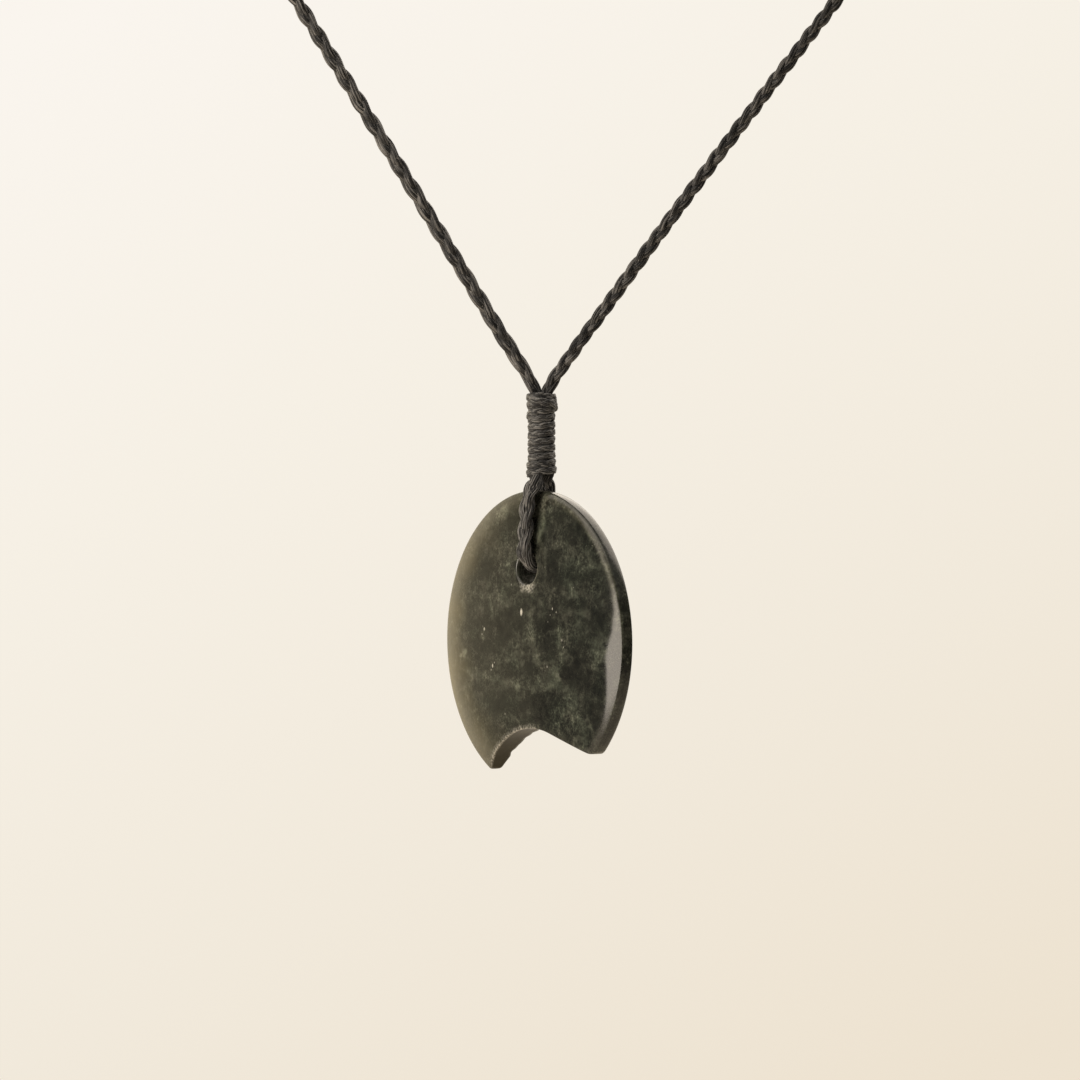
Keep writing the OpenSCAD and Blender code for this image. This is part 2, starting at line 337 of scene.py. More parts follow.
@dataclass(frozen=True)
class Nephrite:
    """Polished nephrite: felted fibres under a close polish, so cloudy colour lies below a clear gloss.

    Sizes in millimetres. Real fibres are too fine to show, so the finest layers draw bundles of them.
    """

    centre: Vector
    turn: float
    dark: str = "#1c1d1a"
    middle: str = "#33352f"
    light: str = "#52544c"
    vein: str = "#86887b"
    # Colour of the painted light along the thin left edge, and of the notch's ground wall's own olive tint.
    rind: str = "#8b805a"
    fleck: str = "#f0ede0"
    brown: str = "#f2ece9"
    neutral: str = "#f0f0ea"
    green: str = "#e8f0e7"
    layers: tuple = (
        Layer(Form.CLOUD, size=7.0, strength=0.3, upright=0.8, detail=2.0, roughness=0.5, distortion=0.5),
        Layer(Form.CLOUD, size=2.6, strength=0.85, upright=0.8, detail=5.0, roughness=0.62, distortion=0.8),
        Layer(Form.CLOUD, size=1.1, strength=0.62, upright=0.9, detail=4.0, roughness=0.6, distortion=0.5),
        Layer(Form.WEB, size=5.0, strength=0.12, upright=0.8, detail=2.0, roughness=0.5, distortion=1.0),
        Layer(Form.WEB, size=2.2, strength=0.1, upright=0.8, detail=2.0, roughness=0.5, distortion=1.0),
        Layer(Form.FIBRE, size=0.5, strength=0.4, upright=2.2, detail=2.0, roughness=0.6, distortion=0.3),
        Layer(Form.FIBRE, size=0.26, strength=0.5, upright=1.2, detail=1.0, roughness=0.6, distortion=0.0),
    )
    # Each inclusion's place along the face and up it, and its radius.
    inclusions: tuple = (
        # The first and largest is a pale inclusion, drawn wider to carry a painted glint.
        (-0.5, 4.2, 0.48), (-0.8, 3.3, 0.16), (-3.2, 8.2, 0.12), (-4.9, -10.8, 0.15), (-7.9, -3.8, 0.26),
        (-7.4, -3.3, 0.15), (-8.3, -4.4, 0.14), (-10.1, 1.6, 0.22), (-10.7, 0.8, 0.14), (-14.6, 5.3, 0.2),
        (2.1, 0.2, 0.12), (3.3, -3.9, 0.15), (4.4, -4.4, 0.11), (5.3, -4.2, 0.13), (5.8, -3.6, 0.18),
        (6.0, 2.9, 0.14), (6.5, 3.9, 0.12), (7.0, 4.8, 0.18), (7.9, 4.3, 0.12), (7.5, 11.7, 0.18),
        (9.3, 0.3, 0.16), (9.7, -0.7, 0.12), (11.2, -10.8, 0.15), (12.0, -11.5, 0.12), (11.7, -13.6, 0.18),
        (15.7, 6.0, 0.2), (16.3, 5.3, 0.12), (17.0, -8.3, 0.22), (17.2, -9.1, 0.13),
    )
    inclusion_shape: tuple = (1.3, 1.0, 0.7)
    face_level: float = -2.3
    fleck_spacing: float = 1.7
    patch_size: float = 3.6
    tint_size: float = 2.8
    polished_roughness: float = 0.15
    ground_roughness: float = 0.32
    polished_gloss: float = 0.5
    ground_gloss: float = 0.14
    refraction: float = 1.61

    def material(self) -> bpy.types.Material:
        """Builds the material, with its patterns in the disc's own plane.

        Returns:
            The stone's material.
        """
        material, tree = new_material("Nephrite, hand-polished")
        place = add(tree, "ShaderNodeTexCoord", out="Object")
        spot = {"Location": self.centre, "Rotation": (0, 0, -self.turn), "Scale": (MM, MM, MM)}
        face = add(tree, "ShaderNodeMapping", {"Vector": place, **spot}, vector_type="TEXTURE")
        names = ("tone", "hue", "rind", "chips", "wall")
        marks = {name: add(tree, "ShaderNodeAttribute", out="Fac", attribute_name=name) for name in names}
        clouds, grain = self.cloudiness(tree, face)
        tone = add(tree, "ShaderNodeMath", (clouds, marks["tone"]), operation="ADD")
        body = self.body_colour(tree, face, tone, marks["hue"])
        # The "chips" mark holds pale chips, grit and a bruise, and the painted highlight along the notch's
        # front edge.
        crumbs = add(tree, "ShaderNodeMapRange", (grain, 0.4, 0.62, 0.15, 0.8))
        crumbs = add(tree, "ShaderNodeMath", (marks["chips"], crumbs), operation="MULTIPLY")
        # Painted light along the thin left edge and the notch wall's own olive tint, then flecks and pale
        # chips.
        laid = ((marks["rind"], self.rind), (self.flecks(tree, face), self.fleck), (crumbs, self.fleck))
        for share, colour in laid:
            inputs = {"Factor": share, 6: body, 7: linear(colour)}
            body = add(tree, "ShaderNodeMix", inputs, 2, data_type="RGBA")
        wall = marks["wall"]
        ends = (self.polished_roughness, self.ground_roughness)
        rough = add(tree, "ShaderNodeMapRange", (wall, 0.0, 1.0, *ends))
        rough = add(tree, "ShaderNodeMath", (tone, 0.06, rough), operation="MULTIPLY_ADD")
        gloss = add(tree, "ShaderNodeMapRange", (wall, 0.0, 1.0, self.polished_gloss, self.ground_gloss))
        skin = add(tree, "ShaderNodeBump", {"Height": grain, "Strength": 0.1, "Distance": 0.02 * MM})
        inputs = {"Base Color": body, "Roughness": rough, "Normal": skin, "Specular IOR Level": gloss}
        shader = add(tree, "ShaderNodeBsdfPrincipled", {**inputs, "IOR": self.refraction})
        add(tree, "ShaderNodeOutputMaterial", {"Surface": shader})
        return material

    def cloudiness(self, tree: Tree, face: Socket) -> tuple[Socket, Socket]:
        """Adds up the layers of cloud, web and fibre.

        Args:
            tree: the shader tree.
            face: millimetres in the disc's own plane.

        Returns:
            The tone, about 0.5, and the finest layer alone.
        """
        tone = 0.5
        patches = add(
            tree, "ShaderNodeTexNoise", {"Vector": face, "Scale": 1 / self.patch_size, "Detail": 2.0}, "Fac"
        )
        patches = add(tree, "ShaderNodeMapRange", (patches, 0.42, 0.66, 0.5, 1.8))
        for layer in self.layers:
            drawn = add(tree, "ShaderNodeMapping", {"Vector": face, "Scale": (1, 1, 1 / layer.upright)})
            inputs = {
                "Vector": drawn,
                "Scale": 1 / layer.size,
                "Detail": layer.detail,
                "Roughness": layer.roughness,
                "Distortion": layer.distortion,
            }
            grain = add(tree, "ShaderNodeTexNoise", inputs, "Fac")
            swing = add(tree, "ShaderNodeMath", (grain, 0.5), operation="SUBTRACT")
            if layer.form is Form.WEB:
                swing = add(tree, "ShaderNodeMath", (swing,), operation="ABSOLUTE")
                swing = add(tree, "ShaderNodeMapRange", (swing, 0.0, 0.09, 0.6, -0.4))
            if layer.form is Form.FIBRE:
                swing = add(tree, "ShaderNodeMath", (swing, patches), operation="MULTIPLY")
            tone = add(tree, "ShaderNodeMath", (swing, layer.strength, tone), operation="MULTIPLY_ADD")
        return tone, grain

    def body_colour(self, tree: Tree, face: Socket, tone: Socket, hue: Socket) -> Socket:
        """Colours the stone by its tone and tints it between brown and green.

        Args:
            tree: the shader tree.
            face: millimetres in the disc's own plane.
            tone: how light the stone is.
            hue: the markings' own hue, from -1 to 1.

        Returns:
            The colour.
        """
        tones = {0.14: self.dark, 0.46: self.middle, 0.7: self.light, 1.0: self.vein}
        body = add(tree, "ShaderNodeValToRGB", (tone,), stops=tones)
        inputs = {"Vector": face, "Scale": 1 / self.tint_size, "Detail": 3.0}
        cloud = add(tree, "ShaderNodeTexNoise", inputs, "Fac")
        cloud = add(tree, "ShaderNodeMapRange", (cloud, 0.3, 0.7, -0.9, 0.9))
        hue = add(tree, "ShaderNodeMath", (hue, cloud), operation="ADD")
        hue = add(tree, "ShaderNodeMapRange", (hue, -1.2, 1.2))
        hues = {0.0: self.brown, 0.5: self.neutral, 1.0: self.green}
        tint = add(tree, "ShaderNodeValToRGB", (hue,), stops=hues)
        inputs = {"Factor": 1.0, 6: body, 7: tint}
        return add(tree, "ShaderNodeMix", inputs, 2, data_type="RGBA", blend_type="MULTIPLY")

    def flecks(self, tree: Tree, face: Socket) -> Socket:
        """Scatters faint flecks and sets the brighter inclusions.

        Args:
            tree: the shader tree.
            face: millimetres in the disc's own plane.

        Returns:
            How much of the fleck's colour shows.
        """
        inputs = {"Vector": face, "Scale": 1 / self.fleck_spacing, "Randomness": 1.0}
        cells = add(tree, "ShaderNodeTexVoronoi", inputs).node.outputs
        chosen = add(tree, "ShaderNodeSeparateColor", (cells["Color"],))
        size = add(tree, "ShaderNodeMapRange", (chosen, 0.6, 1.0, 0.0, 0.1))
        inner = add(tree, "ShaderNodeMath", (size, cells["Distance"]), operation="SUBTRACT")
        shown = add(tree, "ShaderNodeMapRange", (inner, 0.0, 0.05, 0.0, 0.35))
        squat = add(tree, "ShaderNodeMapping", {"Vector": face, "Scale": self.inclusion_shape})
        wide, deep, high = self.inclusion_shape
        for along, up, radius in self.inclusions:
            middle = (wide * along, deep * self.face_level, high * up)
            away = add(tree, "ShaderNodeVectorMath", (squat, middle), "Value", operation="DISTANCE")
            clear = min(0.95, 0.35 + 1.5 * radius)
            here = add(tree, "ShaderNodeMapRange", (away, radius, radius / 2, 0.0, clear))
            shown = add(tree, "ShaderNodeMath", (shown, here), operation="MAXIMUM")
        return shown


@dataclass(frozen=True)
class WaxedFibre:
    """Waxed polyester filaments, plaited or wound: streaks along each strand, a dull sheen and wax specks.

    A filament is about 0.02 mm thick, too fine to show, so the streaks are drawn coarser, as bundles of them.
    Their number counts round a strand and their length is in millimetres.
    """

    name: str
    dark: str = "#121212"
    middle: str = "#303031"
    light: str = "#8c8a87"
    wax: str = "#d5d0c8"
    streaks_round: float = 2.2
    streak_length: float = 4.0
    relief: float = 0.16 * MM
    roughness: float = 0.45
    sheen: float = 0.2
    refraction: float = 1.5

    def material(self) -> bpy.types.Material:
        """Builds the material, whose streaks follow the attribute that runs along each strand.

        Returns:
            The fibre's material.
        """
        material, tree = new_material(self.name)
        run = add(tree, "ShaderNodeAttribute", out="Vector", attribute_name="thread")
        size = (self.streaks_round, self.streaks_round, 1 / self.streak_length)
        drawn = add(tree, "ShaderNodeMapping", {"Vector": run, "Scale": size})
        inputs = {"Vector": drawn, "Scale": 1.0, "Detail": 3.0, "Roughness": 0.7}
        streak = add(tree, "ShaderNodeTexNoise", inputs, "Fac")
        tones = {0.4: self.dark, 0.5: self.middle, 0.6: self.light}
        colour = add(tree, "ShaderNodeValToRGB", (streak,), stops=tones)
        inputs = {"Vector": run, "Scale": 0.9, "Randomness": 1.0}
        speck = add(tree, "ShaderNodeTexVoronoi", inputs, "Distance")
        speck = add(tree, "ShaderNodeMapRange", (speck, 0.1, 0.05, 0.0, 0.6))
        inputs = {"Factor": speck, 6: colour, 7: linear(self.wax)}
        colour = add(tree, "ShaderNodeMix", inputs, 2, data_type="RGBA")
        bump = add(tree, "ShaderNodeBump", {"Height": streak, "Strength": 1.0, "Distance": self.relief})
        inputs = {"Base Color": colour, "Normal": bump, "Roughness": self.roughness, "IOR": self.refraction}
        shader = add(tree, "ShaderNodeBsdfPrincipled", {**inputs, "Sheen Weight": self.sheen})
        add(tree, "ShaderNodeOutputMaterial", {"Surface": shader})
        return material


@dataclass(frozen=True)
class Chipping:
    """Chips along the notch's arc: how many, their angles, and the least and spread of radius and depth."""

    count: int
    start: float
    sweep: float
    radius: tuple
    depth: tuple


@dataclass
class Plan:
    """The stone's face: its points, their depth below the dome, its triangles and both edges' points."""

    points: np.ndarray
    drop: np.ndarray
    faces: list[tuple]
    edges: list[list[int]]


@dataclass
class Skin:
    """The stone's mesh as it grows: its points, its faces and the values that its finish reads."""

    vertices: list[tuple]
    polygons: list[tuple]
    values: dict[str, list]


@dataclass
class GreenstoneDisc:
    """The polished disc: shallow domes, a ground bevel, a drilled hole and a notch. Sizes in millimetres."""

    hole_at: Vector
    face_out: Vector
    face_side: Vector
    markings: Markings = Markings()
    radius: float = 22.0
    thickness: float = 5.0
    dome_rise: float = 0.8
    ridge: float = 19.6
    rim_half: float = 0.9
    rim_inset: float = 0.25
    rim_bulge: float = 0.05
    hole_r: float = 2.3
    hole_up: float = 10.6
    hole_side: float = 0.46
    hole_sides: int = 64
    notch_r: float = 14.1
    notch_top: float = 12.7
    notch_side: float = -1.4
    flank_angle: float = 23.8
    notch_turn: float = 6.3
    sharp_horn_r: float = 0.6
    blunt_horn_r: float = 1.9
    rim_fillet: float = 0.28
    notch_fillet: float = 0.13
    hole_fillet: float = 0.45
    grid: float = 0.34
    grid_margin: float = 0.62
    step: float = 0.3
    wall_rows: int = 9
    bevel_fall: float = 0.29
    back_fullness: float = 0.1
    unevenness: float = 0.02
    bore_grit: float = 0.3
    wall_shade: float = 0.6
    wall_olive: float = 0.06
    wall_green: float = 0.9
    wall_mottling: float = 0.35
    rind_from: float = 13.5
    front_chips: Chipping = Chipping(14, 134, 52, (0.08, 0.14), (0.01, 0.04))
    back_chips: Chipping = Chipping(12, 144, 54, (0.5, 0.5), (0.05, 0.14))
    # Angle about the disc, the radius where the bevel starts there, and how softly it does.
    shoulder: tuple = (
        (-180, 18.9, 1.3), (-130, 19.3, 0.9), (-75, 19.9, 0.5), (-45, 20.9, 0.25), (-34, 20.8, 0.25),
        (-24, 20.4, 0.3), (-15, 19.8, 0.45), (-6, 19.3, 0.55), (0, 19.8, 0.5), (6, 20.5, 0.4),
        (14, 21.0, 0.3), (24, 21.1, 0.25), (75, 21.2, 0.2), (110, 20.2, 0.5), (150, 19.2, 1.0),
        (180, 18.9, 1.3),
    )

    def __post_init__(self) -> None:
        """Works out the notch's arc, its flank and the centres of the two rounded horns."""
        turn = math.radians(self.notch_turn)
        flank = math.radians(self.flank_angle) - turn
        spin = np.array([[math.cos(turn), -math.sin(turn)], [math.sin(turn), math.cos(turn)]])
        self.arc = spin @ np.array([self.notch_side, -self.notch_top - self.notch_r])
        self.flank_way = np.array([math.cos(flank), -math.sin(flank)])
        self.flank_up = np.array([math.sin(flank), math.cos(flank)])
        self.flank_at = self.arc + self.notch_r * self.flank_up
        self.hole = np.array([self.hole_side, self.hole_up])
        horn_r = self.sharp_horn_r
        self.sharp_horn = self.meet_of_circles(self.radius - horn_r, self.notch_r + horn_r)
        start = self.flank_at + self.blunt_horn_r * self.flank_up
        along = start @ self.flank_way
        reach = (self.radius - self.blunt_horn_r) ** 2
        run = -along + math.sqrt(along * along - start @ start + reach)
        self.blunt_horn = start + run * self.flank_way

    def meet_of_circles(self, about_disc: float, about_arc: float) -> np.ndarray:
        """Finds the left meeting point of a circle about the disc's centre and one about the arc's.

        Args:
            about_disc: radius of the first circle.
            about_arc: radius of the second circle.

        Returns:
            The point in the disc's plane.
        """
        gap = float(np.hypot(*self.arc))
        along = (gap * gap + about_disc**2 - about_arc**2) / (2 * gap)
        across = math.sqrt(about_disc**2 - along * along)
        way = self.arc / gap
        return way * along + np.array([way[1], -way[0]]) * across

    def arc_points(
        self, centre: np.ndarray, radius: float, start: float, end: float, step: float
    ) -> np.ndarray:
        """Points along an arc, without its last one.

        Args:
            centre: the arc's centre.
            radius: its radius.
            start: angle where it starts.
            end: angle where it ends, less than the start if it runs clockwise.
            step: greatest distance between points.

        Returns:
            The points, a row each.
        """
        count = max(int(abs(end - start) * radius / step) + 1, 4)
        angles = start + (end - start) * np.arange(count) / count
        return centre + radius * np.stack([np.cos(angles), np.sin(angles)], 1)

    def outline(self) -> np.ndarray:
        """Runs round the disc against the clock, in at the left horn and along the notch.

        Returns:
            The outline's points, a row each.
        """
        right = math.atan2(self.blunt_horn[1], self.blunt_horn[0])
        left = math.atan2(self.sharp_horn[1], self.sharp_horn[0]) % math.tau
        to_arc = self.arc - self.sharp_horn
        horn_end = math.atan2(to_arc[1], to_arc[0]) % math.tau
        if horn_end < left:
            horn_end += math.tau
        arc_start = math.atan2(-to_arc[1], -to_arc[0])
        arc_end = math.atan2(self.flank_up[1], self.flank_up[0])
        horn_start = math.atan2(-self.flank_up[1], -self.flank_up[0])
        foot = self.blunt_horn - self.blunt_horn_r * self.flank_up
        count = int(float(np.hypot(*(foot - self.flank_at))) / (self.step / 2))
        flank = self.flank_at + np.outer(np.arange(count) / count, foot - self.flank_at)
        fine = self.step / 3
        return np.concatenate(
            [
                self.arc_points(np.zeros(2), self.radius, right, left, self.step),
                self.arc_points(self.sharp_horn, self.sharp_horn_r, left, horn_end, fine),
                self.arc_points(self.arc, self.notch_r, arc_start, arc_end, self.step / 2),
                flank,
                self.arc_points(self.blunt_horn, self.blunt_horn_r, horn_start, right, fine),
            ]
        )

    def bore(self) -> np.ndarray:
        """Runs round the hole with the clock, so that the stone lies on the left."""
        turns = -np.arange(self.hole_sides) / self.hole_sides * math.tau
        return self.hole + self.hole_r * np.stack([np.cos(turns), np.sin(turns)], 1)

    def inside(self, points: np.ndarray, margin: float) -> np.ndarray:
        """Says which points lie in the stone's plan, at least a margin from its edges.

        Args:
            points: points of the disc's plane, a row each.
            margin: the least distance from the rim, the notch and the hole.

        Returns:
            True for each point inside.
        """
        past = (points - self.flank_at) @ self.flank_way > 0
        above = (points - self.flank_at) @ self.flank_up > margin
        clear = np.hypot(*(points - self.arc).T) > self.notch_r + margin
        solid = np.where(past, above, clear & (points[:, 1] > self.arc[1]))
        rim = np.hypot(*points.T) < self.radius - margin
        bored = np.hypot(*(points - self.hole).T) > self.hole_r + margin
        horns = np.ones(len(points), bool)
        for centre, size in ((self.sharp_horn, self.sharp_horn_r), (self.blunt_horn, self.blunt_horn_r)):
            away = points - centre
            near = np.hypot(*away.T) < size - margin
            horns &= (away[:, 1] >= 0) | (np.abs(away[:, 0]) > 2.2 * size + margin) | near
        return solid & rim & bored & horns

    def half_height(self, points: np.ndarray) -> np.ndarray:
        """Height of a face above the middle plane, before the edges are rounded.

        Args:
            points: points of the disc's plane, a row each.

        Returns:
            The height at each point.
        """
        r = np.hypot(*points.T)
        turns, starts, softness = np.array(self.shoulder).T
        edge = np.interp(bearings(points), turns, starts)
        soft = np.interp(bearings(points), turns, softness)
        rim_r = self.radius - self.rim_inset
        rim_fall = self.bevel_fall * soft * np.logaddexp(0, (rim_r - edge) / soft)
        spare = self.thickness / 2 - self.dome_rise * (rim_r / self.ridge) ** 2 - self.rim_half - rim_fall
        dome = self.thickness / 2 - self.dome_rise * (r / self.ridge) ** 2 - spare * (r / rim_r) ** 3
        drop = self.bevel_fall * soft * np.logaddexp(0, (r - edge) / soft)
        return dome - drop + self.unevenness * ripples(points, 7.0, 3.1)

    def edge_loops(self, ring: np.ndarray, fillet: np.ndarray) -> list[tuple[np.ndarray, np.ndarray]]:
        """Loops that run along an edge, from the wall inwards round its fillet.

        Args:
            ring: the edge's points, with the stone on their left.
            fillet: the edge's radius at each point.

        Returns:
            For each loop, its points and how far they lie below the face.
        """
        ahead = np.roll(ring, -1, 0) - np.roll(ring, 1, 0)
        inward = np.stack([-ahead[:, 1], ahead[:, 0]], 1) / np.hypot(*ahead.T)[:, None]
        loops = []
        for quarter in (1.0, 0.75, 0.5, 0.25, 0.0):
            turn = quarter * math.pi / 2
            inset = fillet * (1 - math.sin(turn))
            loops.append((ring + inward * inset[:, None], fillet * (1 - math.cos(turn))))
        return loops

    def rind(self, points: np.ndarray) -> np.ndarray:
        """Strength of the painted light along the left of the disc, a paler olive where the thin stone lets
        light through.

        Args:
            points: points of the disc's plane, a row each.

        Returns:
            The strength at each point, from 0 to 1.
        """
        left = np.exp(-(((bearings(points) % 360 - 182) / 58) ** 2))
        ragged = np.hypot(*points.T) - self.rind_from + 2.5 * ripples(points, 4.0, 9.4)
        depth = np.clip(ragged / (self.radius - self.rind_from), 0, 1)
        return 0.6 * left * depth**1.5

    def edge_line(self, points: np.ndarray) -> np.ndarray:
        """Strength of the thin paler line where light shines through the edge, on the upper right.

        Args:
            points: points of the disc's plane, a row each.

        Returns:
            The strength at each point, from 0 to 1.
        """
        spread = np.array([smooth_step(2, 16, a) * (1 - smooth_step(60, 88, a)) for a in bearings(points)])
        return spread * np.exp(-(((np.hypot(*points.T) - 21.35) / 0.42) ** 2))

    def bruise_and_edge_glint(self, points: np.ndarray) -> np.ndarray:
        """Strength of the pale bruise just below the hole, and of the painted highlight where the notch's
        front edge catches the light.

        Args:
            points: points of the disc's plane, a row each.

        Returns:
            The strength at each point, from 0 to 1.
        """
        away = (points - self.hole - np.array([0.4, -2.75])) / np.array([1.7, 0.75])
        bruise = np.clip(1.3 - np.hypot(*away.T) + 0.7 * ripples(points, 1 / 1.4, 5.2), 0, 1)
        # Painted highlight: the notch's front edge catching the light, patchy along the arc.
        from_arc = points - self.arc
        angle = bearings(from_arc)
        near = np.clip(1.2 - np.abs(np.hypot(*from_arc.T) - self.notch_r) / 0.19, 0, 1)
        spread = np.array([smooth_step(84, 92, a) * (1 - smooth_step(136, 150, a)) for a in angle])
        patchy = np.array([noise.noise(Vector((a / 3.1, 0.4, 7.7))) for a in angle])
        return np.maximum(bruise, near * spread * np.clip(1 + patchy, 0, 1))

    def chips(self, kind: Chipping) -> list[tuple[np.ndarray, float, float]]:
        """Chips along the notch's edge, where its arc climbs from the sharp horn.

        Args:
            kind: how many they are, where they lie and how large they are.

        Returns:
            For each chip, its middle, radius and depth.
        """
        made = []
        for _ in range(kind.count):
            angle = math.radians(kind.start - kind.sweep * noise.random())
            middle = self.arc + self.notch_r * np.array([math.cos(angle), math.sin(angle)])
            radius = kind.radius[0] + kind.radius[1] * noise.random()
            made.append((middle, radius, kind.depth[0] + kind.depth[1] * noise.random()))
        return made

    def plan(self, ring: np.ndarray, bore: np.ndarray, fillet: np.ndarray) -> Plan:
        """Fills the stone's plan with triangles that follow its edges.

        Args:
            ring: the outline's points.
            bore: the hole's points.
            fillet: the outline's edge radius at each point.

        Returns:
            The plan.
        """
        groups, drops, edges, firsts = [], [], [], []
        base = 0
        around_bore = self.edge_loops(bore, np.full(len(bore), self.hole_fillet))
        for loops in (self.edge_loops(ring, fillet), around_bore):
            firsts.append(base)
            for points, drop in loops:
                n = len(points)
                groups.append(points)
                drops.append(drop)
                edges += [(base + i, base + (i + 1) % n) for i in range(n)]
                base += n
        side = np.arange(-self.radius, self.radius, self.grid)
        u, v = np.meshgrid(side, side)
        u = u + (np.arange(len(side)) % 2 * self.grid / 2)[:, None]
        lattice = np.stack([u.ravel(), v.ravel()], 1)
        lattice = lattice[self.inside(lattice, self.grid_margin)]
        flat = np.concatenate([*groups, lattice])
        drop = np.concatenate([*drops, np.zeros(len(lattice))])
        result = delaunay_2d_cdt([Vector(p) for p in flat], edges, [], 0, 1e-6, True)
        points = np.array([tuple(p) for p in result[0]])
        sources = [s[0] if s else -1 for s in result[3]]
        drop = np.array([drop[s] if s >= 0 else 0.0 for s in sources])
        where = {s: i for i, s in enumerate(sources)}
        faces = np.array([tuple(f) for f in result[2]])
        middles = points[faces].mean(1)
        faces = faces[encloses(ring, middles) & ~encloses(bore, middles)].tolist()
        tops = [[where[first + i] for i in range(len(loop))] for first, loop in zip(firsts, (ring, bore))]
        return Plan(points, drop, [tuple(f) for f in faces], tops)

    def faces(self, plan: Plan) -> Skin:
        """Raises both faces from the plan, chips the notch's edges and works out the markings.

        Args:
            plan: the stone's plan.

        Returns:
            The two faces.
        """
        points = plan.points
        front = self.half_height(points) - plan.drop
        back = front + self.back_fullness * (np.hypot(*points.T) / self.radius) ** 6
        # Pale bruise and chips, with the painted highlight along the notch's front edge.
        pale = self.bruise_and_edge_glint(points)
        for middle, size, depth in self.chips(self.front_chips):
            near = np.clip(1 - (np.hypot(*(points - middle).T) / size) ** 2, 0, None)
            front -= depth * near
            pale = np.maximum(pale, np.minimum(near * 1.1, 0.8))
        for middle, size, depth in self.chips(self.back_chips):
            back -= depth * np.clip(1 - (np.hypot(*(points - middle).T) / size) ** 2, 0, None)
        count = len(points)
        vertices = [(x, y, h) for (x, y), h in zip(points, front)]
        vertices += [(x, y, -h) for (x, y), h in zip(points, back)]
        polygons = plan.faces + [tuple(count + i for i in reversed(f)) for f in plan.faces]
        tone, hue = self.markings.at(points)
        line = self.edge_line(points)
        values = {
            "chips": list(pale) + [0.0] * count,
            "tone": list(tone + 0.3 * line) * 2,
            "hue": list(hue) * 2,
            # Painted light along the thin left edge, with a little of the painted line of light through the
            # upper right edge.
            "rind": list(self.rind(points) + 0.1 * line) * 2,
            "wall": [0.0] * (2 * count),
        }
        return Skin(vertices, polygons, values)

    def add_wall(
        self, skin: Skin, loop: np.ndarray, top: list[int], foot: list[int], cut: np.ndarray | None
    ) -> None:
        """Joins the two faces along the rim and the notch, or along the bore.

        Args:
            skin: the mesh that gains the wall.
            loop: the edge's points.
            top: which of the mesh's points lie along the edge on the front face.
            foot: which lie along it on the back face.
            cut: how far each point is on the notch's ground wall and not on the rim, or None in the bore.
        """
        rows = [top]
        values = skin.values
        for row in range(1, self.wall_rows):
            t = row / self.wall_rows
            rows.append([len(skin.vertices) + i for i in range(len(loop))])
            for i, (x, y) in enumerate(loop):
                high, low = skin.vertices[top[i]][2], skin.vertices[foot[i]][2]
                share = 0.0 if cut is None else cut[i]
                if cut is not None:
                    bulge = 1 + self.rim_bulge * (1 - (2 * t - 1) ** 2) * (1 - share) / math.hypot(x, y)
                    x, y = x * bulge, y * bulge
                shade = self.wall_shade * share * (0.3 + 0.7 * smooth_step(-13, -19, y))
                mottled = self.wall_mottling * share * noise.noise(Vector((x / 1.3, y / 1.3, t * 1.6)))
                skin.vertices.append((x, y, high + (low - high) * t))
                values["chips"].append(self.bore_grit * noise.random() if cut is None else 0.0)
                values["tone"].append(values["tone"][top[i]] - shade + mottled)
                values["hue"].append(0.0 if cut is None else values["hue"][top[i]] + self.wall_green * share)
                # The notch's ground wall adds its own olive tint to the mark of painted edge light.
                values["rind"].append(values["rind"][top[i]] + self.wall_olive * share)
                values["wall"].append(1.0 if cut is None else 0.3 + 0.7 * share)
        rows.append(foot)
        for upper, lower in zip(rows, rows[1:]):
            for i, j in zip(range(len(loop)), [*range(1, len(loop)), 0]):
                skin.polygons.append((upper[i], lower[i], lower[j], upper[j]))

    def build(self, finish: bpy.types.Material) -> bpy.types.Object:
        """Builds the disc.

        Args:
            finish: the stone's material.

        Returns:
            The piece.
        """
        noise.seed_set(7)
        ring, bore = self.outline(), self.bore()
        rim = np.clip((np.hypot(*ring.T) - self.radius + 0.6) / 0.6, 0, 1)
        plan = self.plan(ring, bore, self.notch_fillet + (self.rim_fillet - self.notch_fillet) * rim)
        skin = self.faces(plan)
        for loop, top, ground in zip((ring, bore), plan.edges, (1 - rim, None)):
            self.add_wall(skin, loop, top, [len(plan.points) + i for i in top], ground)
        mesh = bpy.data.meshes.new("stone_polished")
        mesh.from_pydata([self.place(p) for p in skin.vertices], [], skin.polygons)
        for name, numbers in skin.values.items():
            marked = mesh.attributes.new(name, "FLOAT", "POINT")
            marked.data.foreach_set("value", np.array(numbers, np.float32))
        mesh.shade_smooth()
        mesh.materials.append(finish)
        return linked("stone_polished", mesh)

    def place(self, point: tuple[float, float, float]) -> Vector:
        """Puts a point of the disc in the frame.

        Args:
            point: millimetres along the face, up it and out of it.

        Returns:
            The point in metres.
        """
        x, y, out = (float(c) for c in point)
        along = (x - self.hole_side) * self.face_side + (y - self.hole_up) * UP + out * self.face_out
        return self.hole_at + along * MM


